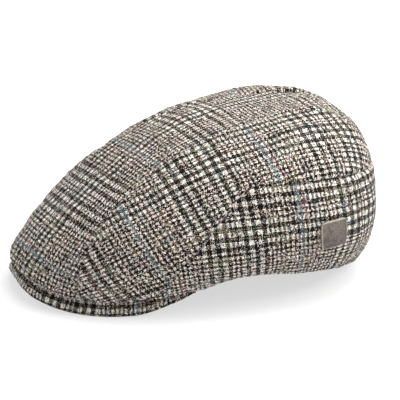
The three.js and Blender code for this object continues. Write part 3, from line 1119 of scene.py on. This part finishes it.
@dataclass
class SidePanel(TweedPanel):
    """Panel between the top seam and the rear band's seam."""

    rear_corner: float = 0.72
    slow_until: float = 0.6
    slow_reached: float = 0.4

    def pace(self, v: Array) -> Array:
        """Pace along the band's seam that keeps the grid square to its seams."""
        slow = v * self.slow_reached / self.slow_until
        fast = lerp(self.slow_reached, 1, (v - self.slow_until) / (1 - self.slow_until))
        return np.where(v < self.slow_until, slow, fast)

    def places(self, columns: Array, rows: Array) -> Array:
        """Disc places of the panel's grid, from its top seam to the band's seam and front to rear."""
        tip = junction_corner(RIGHT_OF_TRAVEL)

        def top(t: Array) -> Array:
            """Edge at the top seam."""
            return TOP_SEAM.beside(t, RIGHT_OF_TRAVEL)

        def band(t: Array) -> Array:
            """Edge at the band's seam, ending at the tip."""
            return cornered(BAND_SEAM.beside(JUNCTION * self.pace(t), LEFT_OF_TRAVEL), t, tip)

        front, front_end = top(np.zeros(1))[0], band(np.zeros(1))[0]
        edges = {
            Edge.SOUTH: arc(front, front_end, float(bearing_of(front_end))),
            Edge.NORTH: lambda t: cornered(top(lerp(self.rear_corner, 1, t)), t, tip),
            Edge.WEST: lambda t: top(t * self.rear_corner),
            Edge.EAST: band,
        }
        return self.ruled(edges, columns, rows)


@dataclass
class CentrePanel(TweedPanel):
    """Panel over the middle of the cap, from the peak to the rear band."""

    cells: tuple[int, int] = (84, 256)
    pattern_cells: tuple[int, int] = (24, 48)

    def places(self, columns: Array, rows: Array) -> Array:
        """Disc places of the panel's grid, from the wearer's right to the left and front to rear."""
        rear = junction_corner(LEFT_OF_TRAVEL)

        def left(t: Array) -> Array:
            """Edge at the left top seam."""
            return cornered(TOP_SEAM.beside(t, LEFT_OF_TRAVEL), t, rear)

        def back(t: Array) -> Array:
            """Edge at the band's seam, from the right rear corner to the left one."""
            from_middle = np.abs(2 * t - 1)
            share = BAND_SEAM.at_bearing(lerp(180.0, JUNCTION_BEARING, from_middle))
            edge = cornered(BAND_SEAM.beside(share, LEFT_OF_TRAVEL), from_middle, rear)
            return edge * np.stack([np.where(t < 0.5, -1, 1), np.ones_like(t)], -1)

        front = left(np.zeros(1))[0]
        edges = {
            Edge.SOUTH: arc(front * MIRROR, front, float(bearing_of(front)) + 360),
            Edge.NORTH: back,
            Edge.WEST: lambda t: left(t) * MIRROR,
            Edge.EAST: left,
        }
        return self.ruled(edges, columns, rows)


@dataclass
class RearBand(TweedPanel):
    """Band round the back of the cap, from one corner of the peak to the other."""

    cells: tuple[int, int] = (416, 56)
    pattern_cells: tuple[int, int] = (80, 12)
    seams: tuple[Edge, ...] = (Edge.NORTH,)
    first_cut: float = 0.01

    def places(self, columns: Array, rows: Array) -> Array:
        """Disc places of the band's grid, from its left end round the back and hem to seam."""
        start = float(bearing_of(BAND_SEAM.beside(np.array([self.first_cut]), RIGHT_OF_TRAVEL))[0])
        share = 1 - np.abs(2 * columns - 1)
        side = np.stack([np.where(columns <= 0.5, 1, -1), np.ones_like(columns)], -1)
        seam = BAND_SEAM.beside(np.maximum(share, self.first_cut), RIGHT_OF_TRAVEL) * side
        hem = on_disc(lerp(start, 180.0, share), np.zeros_like(share)) * side
        return lerp(hem[:, None], seam[:, None], rows[None, :, None])

    def surface(self, columns: Array, rows: Array) -> tuple[Array, Array]:
        """The band's outer face, its hem as it lies at rest, and its thickness direction."""
        face, out = super().surface(columns, rows)
        bearing = bearing_of(self.places(columns, rows[:1]))
        face[..., 2] += HEM_SAG.at(bearing, rows[None])
        return face, out


@dataclass
class Peak:
    """Covered board under the front, whose nose shows as a lip below the crown."""

    tweed: Material
    corner: float = 68
    board: float = 3.6
    corner_board: float = 1.4
    out: float = 4.3
    drop: float = 8.3
    gap: float = 0.45
    drawn_in: float = 0.55
    drawn_to: float = 0.3
    fade_from: float = 52.5
    fade_to: float = 70.7
    nose: float = 0.14
    nose_fullness: float = 0.7
    bulge: float = 3
    tucked_from: float = 0.94
    tucked_share: float = 0.8
    relief_share: float = 0.6
    nose_crowding: float = 1.6
    crowding: tuple[float, float] = (0.6, 0.5)
    forehead_side: float = 73
    forehead_y: float = -15
    forehead_depth: float = 65
    forehead_z: tuple[float, float] = (20.5, 47)
    cells: tuple[int, int] = (260, 64)
    yarn: float = 0.822
    start: tuple[float, float] = (0, 34)

    def lip(self, share: Array) -> Array:
        """How far the nose shows, from 1 in front to 0 by the corners."""
        return 1 - smoothstep(self.fade_from, self.fade_to, np.abs(share) * self.corner)

    def at(self, place: Array) -> Array:
        """Points of the upper face; the first coordinate runs corner to corner, the second inward."""
        share, inward = place[..., 0], place[..., 1]
        angle = np.radians(self.corner * share)
        edge = CROWN.point(angle, np.zeros_like(angle))
        outward = CROWN.outward(on_disc(np.degrees(angle), np.zeros_like(angle)))
        lip = self.lip(share)[..., None]
        down = np.array([0, 0, 1.0])
        tucked = CROWN_CLOTH * self.tucked_share * smoothstep(self.tucked_from, 1, np.abs(share))[..., None]
        drawn_in = 1 - smoothstep(0, self.drawn_to, np.abs(share))[..., None]
        out = self.out * lip * (1 - self.drawn_in * drawn_in) - tucked
        nose = edge + outward * out - down * lerp(self.gap, self.drop, lip)
        under = edge - outward * CROWN_CLOTH - down * self.gap
        turn = share * math.pi / 2
        level = lerp(*self.forehead_z, np.cos(turn))
        ahead = self.forehead_y - self.forehead_depth * np.cos(turn)
        forehead = np.stack([self.forehead_side * np.sin(turn), ahead, level], -1)
        near = np.clip(inward / self.nose, None, 1)[..., None]
        far = np.clip((inward - self.nose) / (1 - self.nose), 0, None)[..., None]
        full = self.nose_fullness * np.sin(math.pi * np.clip(near, 0, 1)) * lip
        point = lerp(lerp(nose, under, near), forehead, far) + outward * full
        point[..., 2] += (self.bulge * 4 * far * (1 - far))[..., 0] * np.cos(turn)
        return point

    def build(self) -> Object:
        """Makes and dresses the peak."""
        columns = crowded_ends(self.cells[0], self.crowding[0]) * 2 - 1
        nose_rows = self.cells[1] // 2
        near = np.linspace(0, 1, nose_rows + 1) ** self.nose_crowding * self.nose
        far = lerp(self.nose, 1.0, crowded_ends(self.cells[1] - nose_rows, self.crowding[1]))[1:]
        rows = np.concatenate([near, far])
        place = grid_of(columns, rows)
        face, out = self.at(place), normal_of(self.at, place)
        face = face + out * (RELIEF.at(face) * self.relief_share + NUBS.at(face))[..., None]
        lip = self.lip(columns)[:, None] * np.ones_like(rows)
        along, across = walked(face, 0)[:, :1], walked(face, 1)
        yarns = np.stack([along + 0 * across, across], -1) / self.yarn + self.start
        cloth = ClosedCloth(face, out, lerp(self.corner_board, self.board, lip), yarns)
        return wear_as(cloth.build("peak_cloth"), "peak", self.tweed)


@dataclass
class EarFlap:
    """Wool flap turned up inside the rear band, with rounded ends."""

    wool: Material
    start: float = 73
    cloth: float = 2
    gap: float = 0.6
    hem_climb: float = 0.02
    height: float = 50
    end_share: float = 0.3
    end_turn: float = 16
    cells: tuple[int, int] = (300, 40)

    def climb_after(self, angle: Array, distance: Array) -> Array:
        """Climb reached after a distance up the wall from the lower edge."""
        stations = np.linspace(0, 1, 401)
        wall = CROWN.point(angle[:, None], stations[None])
        climbed = walked(wall, 1)
        return np.array([np.interp(d, row, stations) for d, row in zip(distance, climbed)])

    def build(self) -> Object:
        """Makes and dresses the flap."""
        columns, rows = (crowded_ends(count) for count in self.cells)
        bearing = lerp(self.start, 360 - self.start, columns)
        from_end = np.minimum(bearing, 360 - bearing) - self.start
        rounded = np.sin(np.minimum(from_end / self.end_turn, 1) * math.pi / 2)
        top = self.climb_after(np.radians(bearing), self.height * lerp(self.end_share, 1, rounded))
        climb = lerp(self.hem_climb, top[:, None], rows[None])
        place = on_disc(bearing[:, None] + 0 * rows[None], climb)
        wall, out = CROWN.at(place), CROWN.outward(place)
        face = wall + out * (RELIEF.at(wall) - CROWN_CLOTH - self.gap)[..., None]
        face[..., 2] += HEM_SAG.at(bearing[:, None], rows[None])
        yarns = np.stack([walked(face, 0), walked(face, 1)], -1)
        cloth = ClosedCloth(face, out, np.full(face.shape[:2], self.cloth), yarns)
        return wear_as(cloth.build("ear_flap_wool"), "ear_flap", self.wool)


@dataclass
class Badge:
    """Small bare plate on the left of the rear band, bent to it, with a raised border."""

    leather: Material
    bearing: float = 108.6
    climb: float = 0.2
    half: float = 10.7
    lean: float = 2.9
    corner_pull: float = 0.12
    gap: float = 0.45
    field_height: float = 1.4
    border_height: float = 2.0
    border_at: float = 0.91
    border_width: float = 0.05
    rounds: int = 5
    cells: int = 72
    crowding: float = 0.7

    def surface(self, place: Array) -> Array:
        """Points of the band's face under the plate; both coordinates run from -1 to 1."""
        centre = on_disc(self.bearing, self.climb)
        normal = normal_of(CROWN.at, centre)
        level = unit(np.cross([0, 0, 1.0], normal))
        lean = math.radians(self.lean)
        level = level * math.cos(lean) + np.cross(normal, level) * math.sin(lean)
        plane = np.stack([level, np.cross(normal, level)], -1)
        step = np.linalg.pinv(np.stack(slopes(CROWN.at, centre), -1)) @ plane
        reach = place * self.half * (1 - self.corner_pull * place.prod(-1, keepdims=True) ** 4)
        disc = centre + 0 * place
        for _ in range(self.rounds):
            disc = disc + (reach - (CROWN.at(disc) - CROWN.at(centre)) @ plane) @ step.T
        return CROWN.at(disc)

    def build(self) -> Object:
        """Makes and dresses the badge."""
        stations = crowded_ends(self.cells, self.crowding) * 2 - 1
        place = grid_of(stations, stations)
        band, out = self.surface(place), normal_of(self.surface, place)
        reach = np.abs(place).max(-1)
        ridge = np.exp(-(((reach - self.border_at) / self.border_width) ** 2))
        top = lerp(self.field_height, self.border_height, ridge)
        face = band + out * (top + RELIEF.at(band))[..., None]
        plate = ClosedCloth(face, out, top - self.gap, place)
        return wear_as(plate.build("badge_plate"), "badge", self.leather)


# Studio


@dataclass(frozen=True)
class SoftBox:
    """One square area light, aimed at the cap."""

    name: str
    place: tuple[float, float, float]
    size: float
    power: float
    colour: Colour = (1.0, 1.0, 1.0)

    def build(self, target: Vector) -> None:
        """Hangs the light."""
        lamp = bpy.data.lights.new(self.name, "AREA")
        lamp.shape = "SQUARE"
        lamp.size = self.size
        lamp.energy = self.power
        lamp.color = self.colour
        light = bpy.data.objects.new(self.name, lamp)
        light.location = self.place
        light.rotation_mode = "QUATERNION"
        light.rotation_quaternion = (target - light.location).to_track_quat("-Z", "Y")
        bpy.context.scene.collection.objects.link(light)


@dataclass
class Studio:
    """Pale floor, soft lights and the camera at the photograph's angle."""

    target: tuple[float, float, float] = (0.000431, -0.002844, 0.0594)
    azimuth: float = 70.93
    elevation: float = 22.64
    roll: float = 0.33
    distance: float = 1.3
    lens: float = 160.3
    sensor: float = 36
    shift: tuple[float, float] = (0.04, -0.026)
    floor_half: float = 4.0
    sky: float = 0.45
    lights: tuple[SoftBox, ...] = (
        SoftBox("key_softbox", (0.55, 1.5, 1.3), 1.1, 28.0, (1.0, 0.985, 0.96)),
        SoftBox("overhead_softbox", (-0.3, 0.6, 1.9), 1.6, 50.0),
        SoftBox("front_fill", (1.6, -1.0, 0.7), 1.2, 3.0, (0.97, 0.985, 1.0)),
    )

    def build(self) -> None:
        """Sets the whole studio."""
        target = Vector(self.target)
        for light in self.lights:
            light.build(target)
        self.floor()
        self.world()
        self.camera(target)
        bpy.context.scene.view_settings.view_transform = "Standard"

    def floor(self) -> None:
        """Lays the floor."""
        h = self.floor_half
        corners = np.array([[-h, -h, 0], [h, -h, 0], [h, h, 0], [-h, h, 0]])
        floor = mesh_piece("floor", corners, np.array([[0, 1, 2, 3]]), corners[:, :2])
        floor.data.materials.append(FloorFinish().material())

    def world(self) -> None:
        """Lights the studio softly from all sides."""
        world = bpy.data.worlds.new("studio")
        world.use_nodes = True
        background = world.node_tree.nodes["Background"]
        background.inputs["Color"].default_value = (1, 1, 1, 1)
        background.inputs["Strength"].default_value = self.sky
        bpy.context.scene.world = world

    def camera(self, target: Vector) -> None:
        """Puts the camera at the photograph's angle."""
        a, e, r = (math.radians(x) for x in (self.azimuth, self.elevation, self.roll))
        back = Vector((math.sin(a) * math.cos(e), -math.cos(a) * math.cos(e), math.sin(e)))
        right = Vector((math.cos(a), math.sin(a), 0))
        up = back.cross(right)
        turned_right = right * math.cos(r) - up * math.sin(r)
        turned_up = right * math.sin(r) + up * math.cos(r)
        data = bpy.data.cameras.new("camera")
        data.lens = self.lens
        data.sensor_width = self.sensor
        data.shift_x, data.shift_y = self.shift
        camera = bpy.data.objects.new("camera", data)
        axes = Matrix((turned_right, turned_up, back)).transposed().to_4x4()
        camera.matrix_world = Matrix.Translation(target + back * self.distance) @ axes
        bpy.context.scene.collection.objects.link(camera)
        bpy.context.scene.camera = camera


def main() -> None:
    """Builds the cap piece by piece, then the studio."""
    logging.basicConfig(level=logging.INFO, format="%(name)s: %(message)s")
    tweed = TweedFinish().material()
    parts = (
        CentrePanel("centre_panel", tweed, CENTRE_LAY),
        SidePanel("left_side_panel", tweed, SIDE_LAY),
        SidePanel("right_side_panel", tweed, replace(SIDE_LAY, start=(20, 60)), mirrored=True),
        RearBand("rear_band", tweed, BAND_LAY),
        Peak(tweed),
        EarFlap(FlapWoolFinish().material()),
        Badge(PressedLeatherFinish().material()),
    )
    for part in parts:
        piece = part.build()
        LOG.info("%s: %d faces", piece.name, len(piece.data.polygons))
    Studio().build()


if __name__ == "__main__":
    main()
